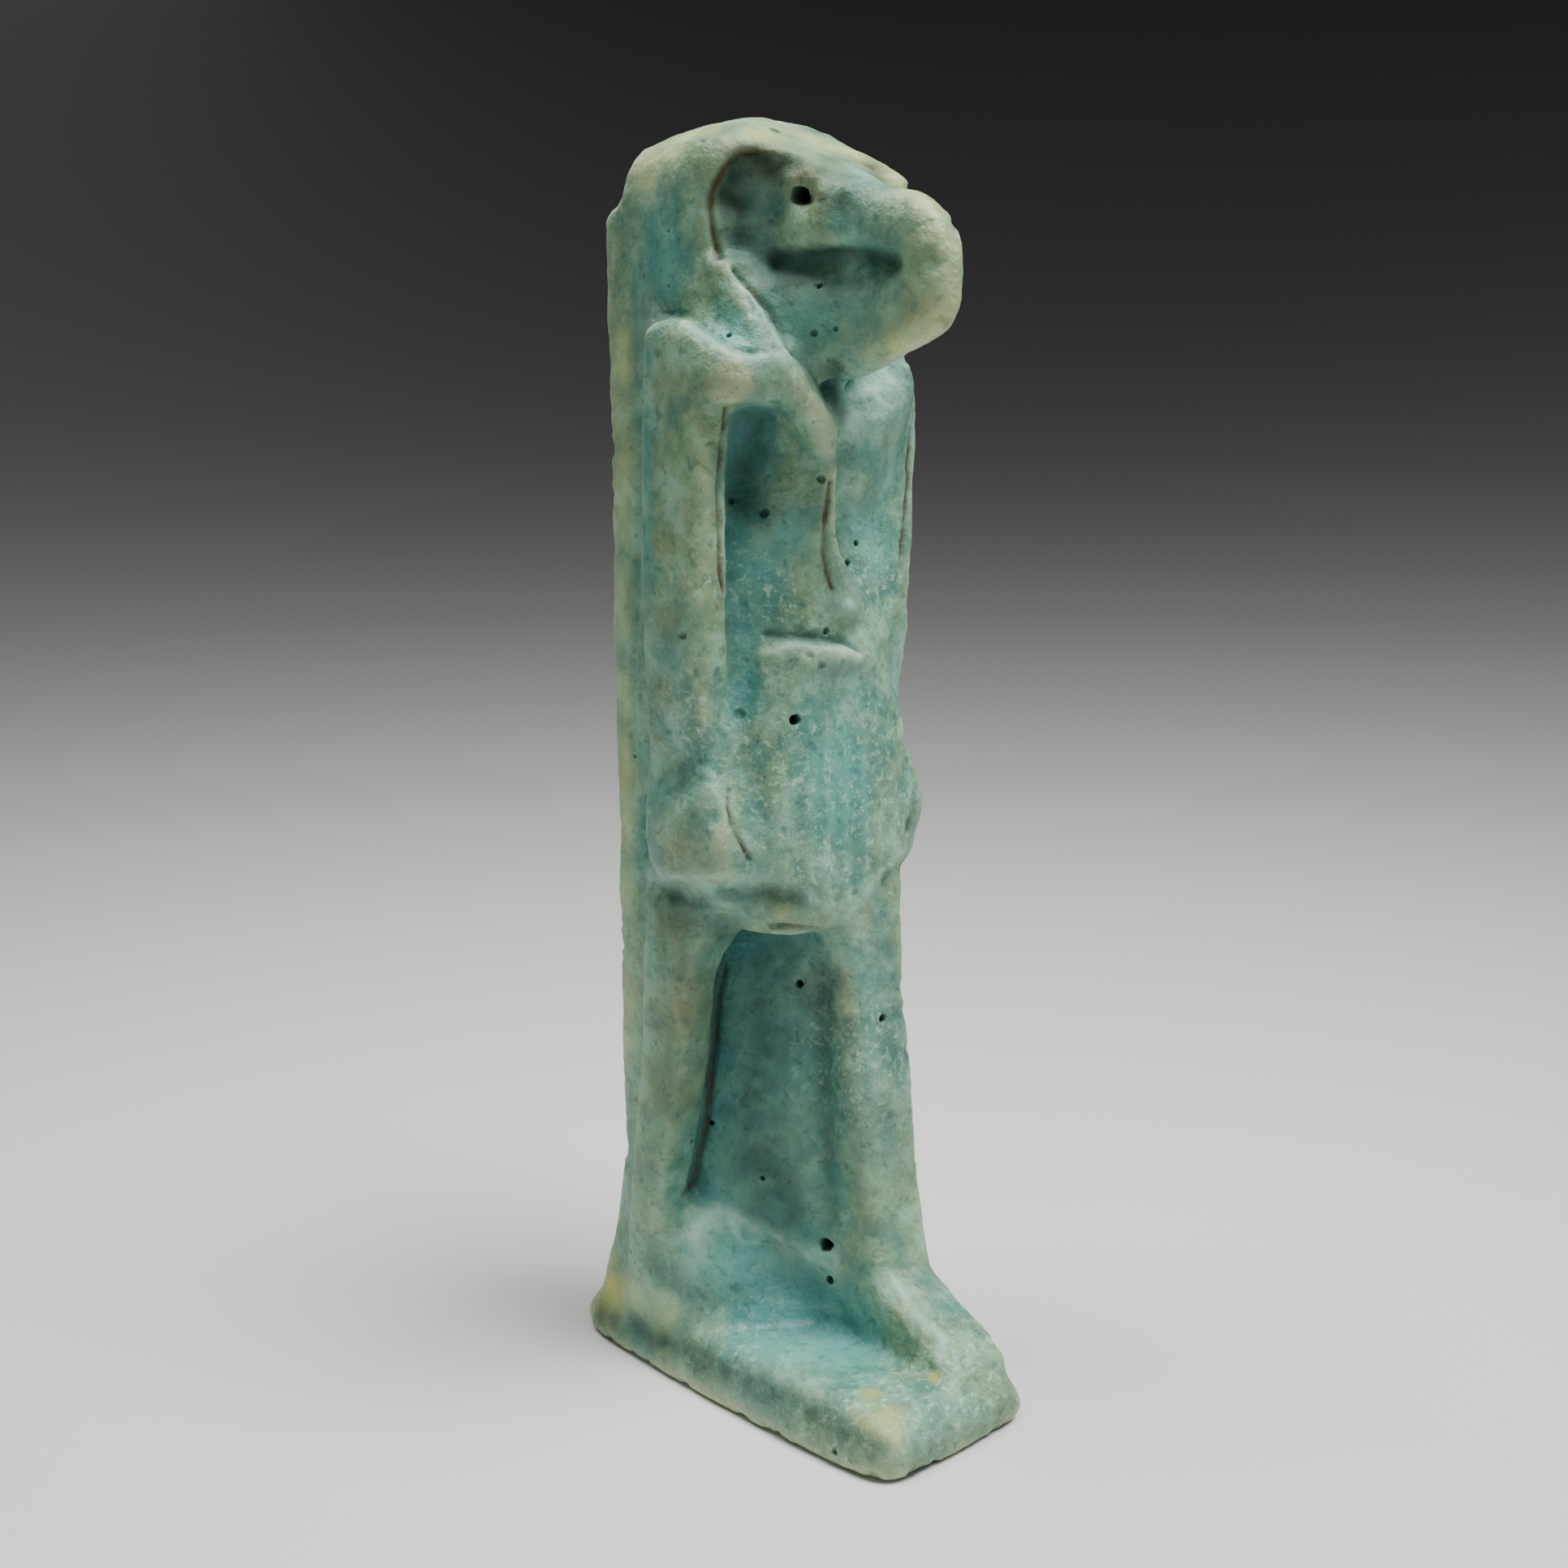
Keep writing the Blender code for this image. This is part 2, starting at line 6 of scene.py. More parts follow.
import bmesh
import bpy
import numpy as np
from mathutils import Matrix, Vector
from mathutils.bvhtree import BVHTree


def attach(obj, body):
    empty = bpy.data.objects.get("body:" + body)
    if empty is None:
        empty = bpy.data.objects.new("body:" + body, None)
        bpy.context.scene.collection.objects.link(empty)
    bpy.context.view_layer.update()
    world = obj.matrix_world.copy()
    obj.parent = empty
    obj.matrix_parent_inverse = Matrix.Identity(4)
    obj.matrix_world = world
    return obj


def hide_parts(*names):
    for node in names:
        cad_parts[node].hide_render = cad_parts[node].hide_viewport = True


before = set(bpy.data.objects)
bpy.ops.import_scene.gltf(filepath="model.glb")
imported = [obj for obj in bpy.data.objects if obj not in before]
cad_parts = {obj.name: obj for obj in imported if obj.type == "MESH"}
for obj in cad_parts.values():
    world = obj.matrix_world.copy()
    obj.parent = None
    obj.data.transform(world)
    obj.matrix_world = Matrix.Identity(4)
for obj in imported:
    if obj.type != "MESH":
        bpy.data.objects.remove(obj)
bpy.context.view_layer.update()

# The amulet is worked in millimetres up to the last step, which turns it into metres
METRES = 0.001

# The solid is remeshed on a fine grid, its facets are smoothed away in so many rounds, and in the end only so
# many triangles are kept
FINE = 0.09
FACET_ROUNDS = 22
MOST_TRIANGLES = 190000
SAME_PLACE_METRES = 1e-7

# The photograph's camera: where it stands, which way it looks, and its lens on a 36 mm sensor
CAMERA_PLACE = (-31.88, -33.75, 23.71)
CAMERA_AZIMUTH = -43.0
CAMERA_PITCH = 9.72
CAMERA_LENS = 42.86
SENSOR = 36
NEAREST_METRES = 0.001
FARTHEST_METRES = 10
PHOTO_SIDE = 1932
TRACE_STEP = 3

# The kilt's pleats lie between two levels of its front, and fade out before its sides
HEM_LEVEL = 12.6
HEM_FADE = 0.8
BELT_LEVEL = 18.4
BELT_FADE = 3.4
PLEAT_SPACING = 0.6
PLEAT_DEPTH = 0.035
PLEATS_START_FORWARD = 0.9
PLEATS_FULL_FORWARD = 1.5
PLEATS_END_ASIDE = 2.4
PLEATS_FULL_ASIDE = 1.6

# Places in the photograph, in pixels of its 1932 by 1932 frame. Each is carried onto the skin along the line
# of sight, so it sits where the photograph shows it.

# Small round holes left by bubbles: place in the photograph, then radius and depth in millimetres; the first
# is the eye
SEEN_HOLES = (
    (985, 240, 0.24, 0.75),
    (1010, 352, 0.08, 0.20),
    (1003, 410, 0.10, 0.10),
    (1030, 405, 0.08, 0.10),
    (898, 412, 0.08, 0.12),
    (955, 160, 0.14, 0.15),
    (823, 284, 0.06, 0.08),
    (823, 352, 0.06, 0.08),
    (1012, 590, 0.11, 0.12),
    (902, 616, 0.10, 0.08),
    (941, 632, 0.13, 0.14),
    (1056, 669, 0.09, 0.20),
    (1046, 693, 0.09, 0.30),
    (1019, 777, 0.09, 0.12),
    (840, 783, 0.15, 0.07),
    (1012, 822, 0.13, 0.06),
    (911, 879, 0.14, 0.07),
    (980, 887, 0.15, 0.50),
    (781, 932, 0.07, 0.12),
    (985, 1213, 0.11, 0.35),
    (1088, 1255, 0.12, 0.35),
    (876, 1384, 0.09, 0.25),
    (853, 1407, 0.08, 0.20),
    (781, 1443, 0.08, 0.20),
    (939, 1452, 0.09, 0.15),
    (1017, 1535, 0.20, 0.50),
    (777, 1542, 0.07, 0.15),
    (1021, 1578, 0.13, 0.35),
    (1027, 1790, 0.10, 0.12),
)
# The same on the far side and the back, in millimetres: place, radius and depth
UNSEEN_HOLES = (
    ((1.40, -1.60, 29.77), 0.20, 0.50),
    ((0.70, -2.60, 27.40), 0.09, 0.20),
    ((3.60, 0.60, 22.30), 0.11, 0.25),
    ((3.55, 0.20, 17.10), 0.13, 0.20),
    ((2.60, 0.40, 8.20), 0.11, 0.25),
    ((1.10, 4.50, 24.40), 0.12, 0.25),
    ((-0.90, 4.45, 16.20), 0.10, 0.20),
    ((0.40, 4.45, 10.70), 0.14, 0.25),
    ((2.75, -1.90, 0.70), 0.10, 0.15),
)
# Holes this deep and deeper get the full painted shade inside, shallower ones less
FULL_SHADE_DEPTH = 0.45

# Soft dents (or, with a depth under 0, swellings) that the mould gave both sides: place, reach and depth
DENTS = (
    (903, 245, 0.40, 0.42),
    (917, 210, 0.34, 0.34),
    (950, 206, 0.32, 0.24),
    (975, 203, 0.26, 0.14),
    (924, 333, 0.26, 0.14),
    (1030, 250, 0.30, 0.14),
    (958, 264, 0.34, -0.07),
    (836, 965, 0.45, 0.12),
)
# Those on one side only
LONE_DENTS = ((1031, 482, 0.32, 0.45), (945, 1101, 0.50, 0.14))

# Lines of the mould and what it left, from top to bottom, in pixels
WIG_EDGE = ((886, 316), (879, 291), (874, 263), (879, 234), (893, 209), (911, 193), (929, 186))
CHEEK_HOLLOW = ((958, 322), (1000, 322), (1057, 316), (1100, 322))
LAPPET_RIDGE = ((908, 350), (922, 362), (936, 381), (950, 406), (961, 427), (968, 436))
LAPPET_GROOVE = ((905, 330), (914, 341), (932, 363), (950, 384), (964, 409), (973, 434))
LAPPET_BAND = ((973, 434), (1007, 463), (1032, 506), (1037, 524))
UNDER_WIG = ((818, 384), (850, 388), (879, 409), (904, 427), (929, 434))
SHOULDER_RIDGE = (
    (795, 402), (821, 394), (843, 396), (857, 406), (879, 425), (900, 437), (921, 443), (960, 442),
)
ARM_LINE = ((896, 504), (893, 531), (889, 566), (886, 602), (887, 638), (889, 680), (889, 704), (893, 726))
CHEST_LINE = ((1023, 595), (1018, 627), (1015, 656), (1014, 680), (1018, 704), (1025, 726))
BELT_GROOVE = ((945, 781), (986, 782), (1014, 785), (1039, 789), (1057, 799))
BELT_RIDGE = ((939, 804), (957, 804), (971, 797), (993, 797), (1014, 801), (1043, 804), (1057, 808))
KILT_SIDE = ((915, 740), (922, 800), (922, 850), (912, 879))
HAND_LINE = ((900, 972), (898, 997), (902, 1015), (914, 1040), (923, 1058))
HAND_POOL = ((918, 950), (930, 985), (943, 1015))
HEM_RIDGE = (
    (800, 1079), (861, 1078), (914, 1084), (950, 1083), (979, 1092), (1004, 1110), (1032, 1130), (1057, 1138),
)
HEM = ((815, 1096), (861, 1094), (914, 1101), (950, 1102), (979, 1112))
CREVICE = ((950, 1143), (968, 1142), (991, 1143), (1012, 1146))
WEB = ((950, 1180), (945, 1280), (925, 1400), (960, 1490))
WEB_BAND = ((1012, 1190), (1014, 1300), (1018, 1400), (1022, 1500))
LEG_LINE = (
    (894, 1190), (887, 1222), (883, 1263), (878, 1308), (874, 1353),
    (871, 1384), (862, 1420), (856, 1456), (843, 1470),
)
PILLAR_LINE = ((787, 560), (786, 747), (782, 819), (780, 890), (780, 944), (777, 1010))
FOOT_RIDGE = ((851, 1524), (883, 1488), (914, 1510), (959, 1524), (995, 1546), (1024, 1550))
FOOT_CRACK = ((896, 1498), (914, 1530), (925, 1535), (948, 1520), (962, 1526))
FOOT_EDGE = ((914, 1596), (950, 1600), (995, 1609), (1036, 1614))
LEFT_FOOT_RIDGE = ((1099, 1573), (1112, 1600), (1139, 1623), (1162, 1650), (1157, 1682))

# Grooves along such lines (or, with a depth under 0, ridges): line, width and depth in millimetres, and
# whether both sides have them
GROOVES = (
    (WIG_EDGE, 0.10, 0.15, True),
    (CHEEK_HOLLOW, 0.24, 0.18, True),
    (LAPPET_GROOVE, 0.07, 0.12, True),
    (LAPPET_RIDGE, 0.09, -0.06, True),
    (UNDER_WIG, 0.09, 0.10, True),
    (SHOULDER_RIDGE, 0.14, -0.03, True),
    (ARM_LINE, 0.07, 0.11, True),
    (PILLAR_LINE, 0.09, 0.08, True),
    (LAPPET_BAND, 0.09, 0.08, False),
    (CHEST_LINE, 0.07, 0.08, False),
    (BELT_GROOVE, 0.13, 0.14, False),
    (BELT_RIDGE, 0.12, -0.06, False),
    (KILT_SIDE, 0.22, 0.08, True),
    (HAND_LINE, 0.07, 0.09, True),
    (HAND_POOL, 0.25, 0.08, True),
    (HEM, 0.24, 0.09, True),
    (HEM_RIDGE, 0.12, -0.03, True),
    (CREVICE, 0.07, 0.15, False),
    (LEG_LINE, 0.06, 0.05, False),
    (WEB_BAND, 0.30, 0.08, False),
    (FOOT_RIDGE, 0.18, -0.05, False),
    (LEFT_FOOT_RIDGE, 0.15, -0.05, False),
)

# What colours the skin along a line: line, reach in millimetres, strength, and whether both sides have it.
# First, brown dirt
DIRTY = (
    (WIG_EDGE, 0.07, 1.2, True),
    (LAPPET_GROOVE, 0.045, 1.0, True),
    (ARM_LINE, 0.06, 1.4, True),
    (CHEST_LINE, 0.06, 1.2, False),
    (HAND_LINE, 0.06, 1.2, True),
    (LEG_LINE, 0.07, 0.6, False),
    (CREVICE, 0.07, 1.0, False),
    (UNDER_WIG, 0.06, 0.2, True),
)
# Chalky breaks and worn ridges
CHALKY = (
    (FOOT_RIDGE, 0.28, 0.5, False),
    (FOOT_CRACK, 0.06, 0.7, False),
    (FOOT_EDGE, 0.07, 0.35, False),
    (LEFT_FOOT_RIDGE, 0.18, 0.6, False),
    (BELT_RIDGE, 0.14, 0.7, False),
    (LAPPET_RIDGE, 0.09, 0.7, True),
    (SHOULDER_RIDGE, 0.16, 0.3, True),
    (HEM_RIDGE, 0.16, 0.3, True),
)
# Glaze that ran together in the hollows
POOLED = (
    (WEB, 1.20, 0.8, False),
    (HAND_POOL, 0.30, 0.6, False),
    (KILT_SIDE, 0.30, 0.6, False),
    (BELT_GROOVE, 0.20, 0.6, False),
    (PILLAR_LINE, 0.12, 0.3, True),
)
# Glaze that has aged to cream
CREAMY = (
    (((800, 200), (850, 165), (910, 146), (970, 148), (1040, 166), (1100, 192)), 0.70, 1.00, False),
    (((925, 160), (975, 166), (1030, 182), (1080, 198)), 0.45, 0.80, False),
    (((1100, 222), (1150, 250), (1174, 300), (1174, 360), (1150, 405), (1105, 430)), 0.45, 0.55, False),
    (((768, 420), (766, 700), (772, 1000), (775, 1300)), 0.35, 0.45, False),
    (((760, 1588), (820, 1618)), 0.60, 0.45, False),
    (((1060, 1745), (1104, 1774)), 0.25, 0.60, False),
)
# Painted shade: darkening along lines where shade falls, in hollows and recesses, under overhangs, and on the
# legs, feet and plinth sides
PAINTED_SHADE_LINES = (
    (((935, 515), (930, 560), (912, 615)), 0.50, 0.65, False),
    (((910, 285), (902, 240), (912, 212), (935, 200)), 0.48, 1.00, True),
    (((925, 196), (965, 198), (1005, 206), (1050, 216)), 0.30, 0.60, True),
    (((990, 214), (1030, 222), (1070, 238)), 0.26, 0.38, True),
    (((1012, 243), (1045, 250)), 0.22, 0.45, True),
    (((905, 325), (935, 345)), 0.26, 0.55, True),
    (((955, 318), (1000, 316), (1040, 314), (1100, 326)), 0.26, 0.85, True),
    (((1030, 450), (1030, 480), (1038, 508)), 0.24, 0.85, False),
    (BELT_GROOVE, 0.14, 0.60, False),
    (((800, 1112), (870, 1108), (930, 1104), (980, 1106)), 0.36, 0.55, True),
    (((1010, 1190), (1014, 1300), (1018, 1400), (1022, 1500)), 0.30, 0.45, False),
    (WEB, 1.20, 0.70, False),
    (((836, 950), (836, 975)), 0.30, 0.40, True),
    (((820, 1130), (900, 1150)), 0.50, 0.45, True),
    (((850, 1200), (835, 1430)), 0.90, 0.38, True),
    (LEG_LINE, 0.12, 0.80, False),
    (((1100, 1180), (1110, 1430)), 0.80, 0.38, True),
    (((806, 1562), (850, 1590), (914, 1592)), 0.35, 0.45, False),
    (((930, 1568), (1000, 1590)), 0.40, 0.30, False),
    (((740, 1622), (805, 1645), (900, 1690), (1000, 1738), (1085, 1790)), 0.45, 0.75, True),
    (((1130, 1800), (1240, 1738)), 0.55, 0.50, False),
    (((950, 222), (940, 290), (1000, 400)), 0.60, 0.20, True),
)

# Round patches: place in the photograph, then how far each reaches in millimetres
CHALKY_SPOTS = ((1080, 480, 0.6), (1047, 520, 0.3), (1048, 742, 0.3))
OCHRE_SPOTS = (
    (1072, 1717, 0.30), (1153, 1697, 0.18), (1095, 1745, 0.45), (755, 1588, 0.8), (1105, 1150, 0.15),
    (934, 166, 0.25),
)
OLIVE_SPOTS = (
    (818, 670, 0.45), (822, 760, 0.6), (818, 850, 0.5), (840, 1045, 0.7), (975, 188, 0.6), (1150, 400, 0.5),
    (840, 1250, 0.9), (845, 1350, 0.9), (830, 1150, 0.8), (930, 200, 0.4), (1060, 1128, 0.5),
    (960, 1124, 0.5), (768, 560, 0.5), (768, 760, 0.5), (770, 960, 0.5), (1010, 208, 0.5), (955, 196, 0.5),
    (812, 480, 0.4), (812, 560, 0.4), (900, 470, 0.4),
)
POOLED_SPOTS = (
    (950, 1640, 1.3), (1010, 1660, 1.2), (930, 700, 0.7), (925, 860, 0.6), (900, 1560, 0.9), (820, 330, 0.7),
    (1000, 390, 0.8), (900, 410, 0.7), (1060, 650, 0.5), (1040, 960, 1.0),
)
# Where the whitish grains of the body show most, and how much of them shows everywhere
GRAINY_SPOTS = (
    (1000, 1010, 2.0), (1080, 930, 1.2), (860, 880, 1.1), (1090, 1300, 1.5), (1095, 700, 1.2),
    (960, 740, 0.7), (1190, 1700, 1.5), (900, 1660, 1.3), (1030, 1760, 1.3), (830, 170, 0.8),
    (1090, 480, 0.6),
)
LEAST_GRAINY = 0.12

# Random patterns, each with the size of its spots in millimetres and a seed of its own. These shade colours
BLOTCHES = (0.9, 11)
FLECKS = (0.3, 12)
CLOUDS = (1.3, 13)
# This makes the rims of the round holes uneven
RIM = (0.16, 21)
RIM_SHARE = 0.25
# These shape the skin, and also have a strength: lumps on broken ridges, chipped edges, and the whole skin
LUMPS = ((0.42, 1, 0.06), (0.20, 2, 0.04))
CHIPS = ((0.55, 6, 1.0), (0.20, 7, 0.4))
CHIP_DEPTH = 0.09
UNEVEN_SKIN = ((2.1, 3, 0.04), (0.8, 4, 0.02), (0.33, 5, 0.016), (0.19, 8, 0.014))
BROKEN_REACH = 0.4

# The table of random values that a pattern repeats, and a shift that keeps the places in it above 0
LATTICE = 32
LATTICE_SHIFT = 100

# Colours as they look on a screen, from 0 to 255
BLUE_GLAZE = (94, 152, 136)
GREEN_GLAZE = (124, 152, 116)
PALE_MOTTLE = (146, 190, 162)
DARK_MOTTLE = (66, 120, 110)
AGED_OLIVE = (128, 138, 96)
POOLED_BLUE = (92, 164, 156)
DEEP_TEAL = (66, 138, 138)
CREVICE_TEAL = (28, 70, 70)
BROAD_WEAR = (160, 172, 124)
WORN_EDGE = (212, 214, 164)
WHITISH_GRAIN = (190, 224, 194)
DARK_PORE = (62, 104, 92)
CHALK = (186, 228, 206)
CREAM = (214, 222, 146)
OCHRE = (196, 192, 84)
# Painted shade, laid where shade falls
PAINTED_SHADE_COLOUR = (22, 40, 34)
BROWN_DIRT = (88, 66, 36)
# Painted shade inside the round holes
PAINTED_HOLE_SHADE = (12, 20, 18)

# Soft square lamps that look at the figure's middle: place, side in millimetres, power in watts and tint
LAMPS = {
    "top_softbox": ((30, -90, 250), 120, 1.1, (0.97, 0.99, 1.0)),
    "crown_softbox": ((-60, 60, 280), 100, 0.42, (1, 1, 1)),
    "right_softbox": ((220, -110, 160), 150, 0.14, (1, 1, 1)),
    "side_fill": ((-300, -100, 150), 200, 0.13, (1, 1, 1)),
    "back_fill": ((60, 350, 150), 200, 0.3, (1, 1, 1)),
}
LAMPS_AIM = (0, 0, 15)
SKY = (0.8, 0.85, 0.9, 1)
SKY_STRENGTH = 0.06

# The backdrop, in metres: a level floor, a quarter round in short steps, and a wall on top of it. Its pale
# paper is painted darker with the distance from the middle, as painted shade for the lamps' falloff.
FLOOR_REACH = 0.06
WALL_REACH = 0.48
WALL_TOP = 0.60
BACKDROP_SIDES = 96
BEND_STEPS = 24
PALE_PAPER = (0.70, 0.70, 0.68, 1)
# Painted shade for the paper far from the middle
PAINTED_FAR_SHADE = (0.015, 0.013, 0.013, 1)
PALE_REACH = 0.09
PALE_SHARE_THERE = 0.37
DARKENING = 1.6


def vectors(collection, name):
    """The coordinates or normals of a mesh's vertices as rows."""
    flat = np.empty(len(collection) * 3, dtype=np.float32)
    collection.foreach_get(name, flat)
    return flat.reshape(-1, 3).astype(float)


def place_vertices(mesh, points):
    """Put a mesh's vertices at new places."""
    mesh.vertices.foreach_set("co", points.astype(np.float32).ravel())
    mesh.update()


def settle(piece):
    """Replace the object's mesh by what its modifiers make of it."""
    graph = bpy.context.evaluated_depsgraph_get()
    graph.update()
    mesh = bpy.data.meshes.new_from_object(piece.evaluated_get(graph))
    piece.modifiers.clear()
    old = piece.data
    piece.data = mesh
    bpy.data.meshes.remove(old)


def smooth_step(value, low, high):
    """0 below low, 1 above high, with a soft turn at both; high may be the smaller one."""
    share = np.clip((value - low) / (high - low), 0, 1)
    return share * share * (3 - 2 * share)


def fade(distance, width):
    """1 at no distance, falling off softly to 0 beyond the width."""
    return np.exp(-(distance / width) ** 2)


def blend_corners(values, cell, share):
    """Values of a block of cells, blended between the eight corners round each point."""
    total = np.zeros(len(cell))
    for corner in range(8):
        side = np.array([corner & 1, corner >> 1 & 1, corner >> 2 & 1])
        index = (cell + side) % values.shape
        weight = np.where(side, share, 1 - share).prod(axis=1)
        total += weight * values[index[:, 0], index[:, 1], index[:, 2]]
    return total


def grain(points, size, seed):
    """Smooth random values from -1 to 1, of a given size, the same on every run."""
    lattice = np.random.default_rng(seed).uniform(-1, 1, (LATTICE, LATTICE, LATTICE))
    place = points / size + LATTICE_SHIFT
    cell = np.floor(place).astype(int)
    return blend_corners(lattice, cell, smooth_step(place - cell, 0, 1))


def grains(points, layers):
    """Random values of several sizes on top of each other."""
    return sum(strength * grain(points, size, seed) for size, seed, strength in layers)


def cloud_distance(points, cloud):
    """How far each point is from the nearest of a few others."""
    nearest = np.full(len(points), np.inf)
    for place in cloud:
        nearest = np.minimum(nearest, ((points - place) ** 2).sum(axis=1))
    return np.sqrt(nearest)


def mark(mesh, name, values):
    """Keep a value from 0 to 1 for each vertex, for the material to read."""
    layer = mesh.attributes.new(name, "FLOAT", "POINT")
    layer.data.foreach_set("value", np.clip(values, 0, 1).astype(np.float32))


class Skin:
    """The amulet's surface, to find where a line of sight meets it."""

    def __init__(self, mesh):
        corners = [corner.co.copy() for corner in mesh.vertices]
        self.tree = BVHTree.FromPolygons(corners, [tuple(face.vertices) for face in mesh.polygons])
        azimuth = math.radians(CAMERA_AZIMUTH)
        pitch = math.radians(CAMERA_PITCH)
        level = math.cos(pitch)
        self.ahead = Vector((-math.sin(azimuth) * level, math.cos(azimuth) * level, -math.sin(pitch)))
        self.right = Vector((math.cos(azimuth), math.sin(azimuth), 0))
        self.up = self.right.cross(self.ahead)

    def seen(self, x, y):
        """The place on the skin that the photograph shows at a pixel."""
        reach = CAMERA_LENS / SENSOR * PHOTO_SIDE
        across = (x - PHOTO_SIDE / 2) / reach
        down = (y - PHOTO_SIDE / 2) / reach
        sight = self.ahead + self.right * across - self.up * down
        hit, _normal, _face, _length = self.tree.ray_cast(Vector(CAMERA_PLACE), sight.normalized())
        return hit

    def nearest(self, place):
        """The place on the skin that is nearest to another one."""
        return self.tree.find_nearest(Vector(place))[0]

    def trace(self, path):
        """Points along a line of the photograph, close together on the skin."""
        points = []
        for start, end in zip(path, path[1:]):
            steps = max(1, round(math.dist(start, end) / TRACE_STEP))
            for step in range(steps + 1):
                share = step / steps
                x = start[0] + share * (end[0] - start[0])
                y = start[1] + share * (end[1] - start[1])
                hit = self.seen(x, y)
                if hit is not None:
                    points.append(tuple(hit))
        return np.array(points)

    def other_side(self, points):
        """The same points on the figure's left side."""
        return np.array([tuple(self.nearest((-x, y, z))) for x, y, z in points])


class Places:
    """Where the lines, holes and patches lie on the skin, on both sides of the figure."""

    def __init__(self, skin):
        self.skin = skin
        self.holes = []
        for x, y, radius, depth in SEEN_HOLES:
            self.holes.append((np.array(skin.seen(x, y)), radius, depth))
        for place, radius, depth in UNSEEN_HOLES:
            self.holes.append((np.array(skin.nearest(place)), radius, depth))

        self.dents = []
        for x, y, reach, depth in DENTS:
            middle = np.array(skin.seen(x, y))
            self.dents.append((middle, reach, depth))
            self.dents.append((skin.other_side(middle[None, :])[0], reach, depth))
        for x, y, reach, depth in LONE_DENTS:
            self.dents.append((np.array(skin.seen(x, y)), reach, depth))

    def along(self, points, path, width, strength, both=False):
        """How strongly each point lies along a line."""
        cloud = self.skin.trace(path)
        if both:
            cloud = np.concatenate((cloud, self.skin.other_side(cloud)))
        return strength * fade(cloud_distance(points, cloud), width)

    def patches(self, points, spots, both=False):
        """How strongly each point lies in any of the patches."""
        total = np.zeros(len(points))
        for x, y, reach in spots:
            place = np.array(self.skin.seen(x, y))
            total += fade(np.linalg.norm(points - place, axis=1), reach)
            if both:
                other = self.skin.other_side(place[None, :])[0]
                total += fade(np.linalg.norm(points - other, axis=1), reach)
        return np.minimum(total, 1)

    def near_holes(self, points):
        """For each hole: how far the points are from its middle, with an uneven rim, its radius and depth."""
        uneven = 1 + RIM_SHARE * grain(points, *RIM)
        for centre, radius, depth in self.holes:
            yield np.linalg.norm(points - centre, axis=1) * uneven, radius, depth


def fine_mesh(node):
    """The solid's form again in fine even faces, with its facets smoothed away, in millimetres."""
    body = bmesh.new()
    body.from_mesh(node.data)
    bmesh.ops.remove_doubles(body, verts=body.verts, dist=SAME_PLACE_METRES)
    bmesh.ops.scale(body, vec=(1 / METRES,) * 3, verts=body.verts)
    mesh = bpy.data.meshes.new("faience_amulet")
    body.to_mesh(mesh)
    body.free()
    piece = bpy.data.objects.new("faience_amulet", mesh)
    bpy.context.collection.objects.link(piece)
    fuse = piece.modifiers.new("fuse", "REMESH")
    fuse.mode = "VOXEL"
    fuse.voxel_size = FINE
    relax = piece.modifiers.new("relax", "SMOOTH")
    relax.factor = 0.5
    relax.iterations = FACET_ROUNDS
    settle(piece)
    return piece


def refine_holes(piece, places):
    """Finer faces, halved twice, where the small round holes and their rims will be."""
    rounds = 2
    reach = 1.7
    margin = 0.05
    body = bmesh.new()
    body.from_mesh(piece.data)
    for _ in range(rounds):
        points = np.array([corner.co for corner in body.verts])
        near = np.zeros(len(points), dtype=bool)
        for centre, radius, _depth in places.holes:
            near |= ((points - centre) ** 2).sum(axis=1) < (reach * radius + margin) ** 2
        body.verts.ensure_lookup_table()
        edges = set()
        for index in np.nonzero(near)[0]:
            edges.update(body.verts[index].link_edges)
        bmesh.ops.subdivide_edges(body, edges=list(edges), cuts=1, use_grid_fill=True)
        bmesh.ops.triangulate(body, faces=[face for face in body.faces if len(face.verts) > 4])
    body.to_mesh(piece.data)
    body.free()


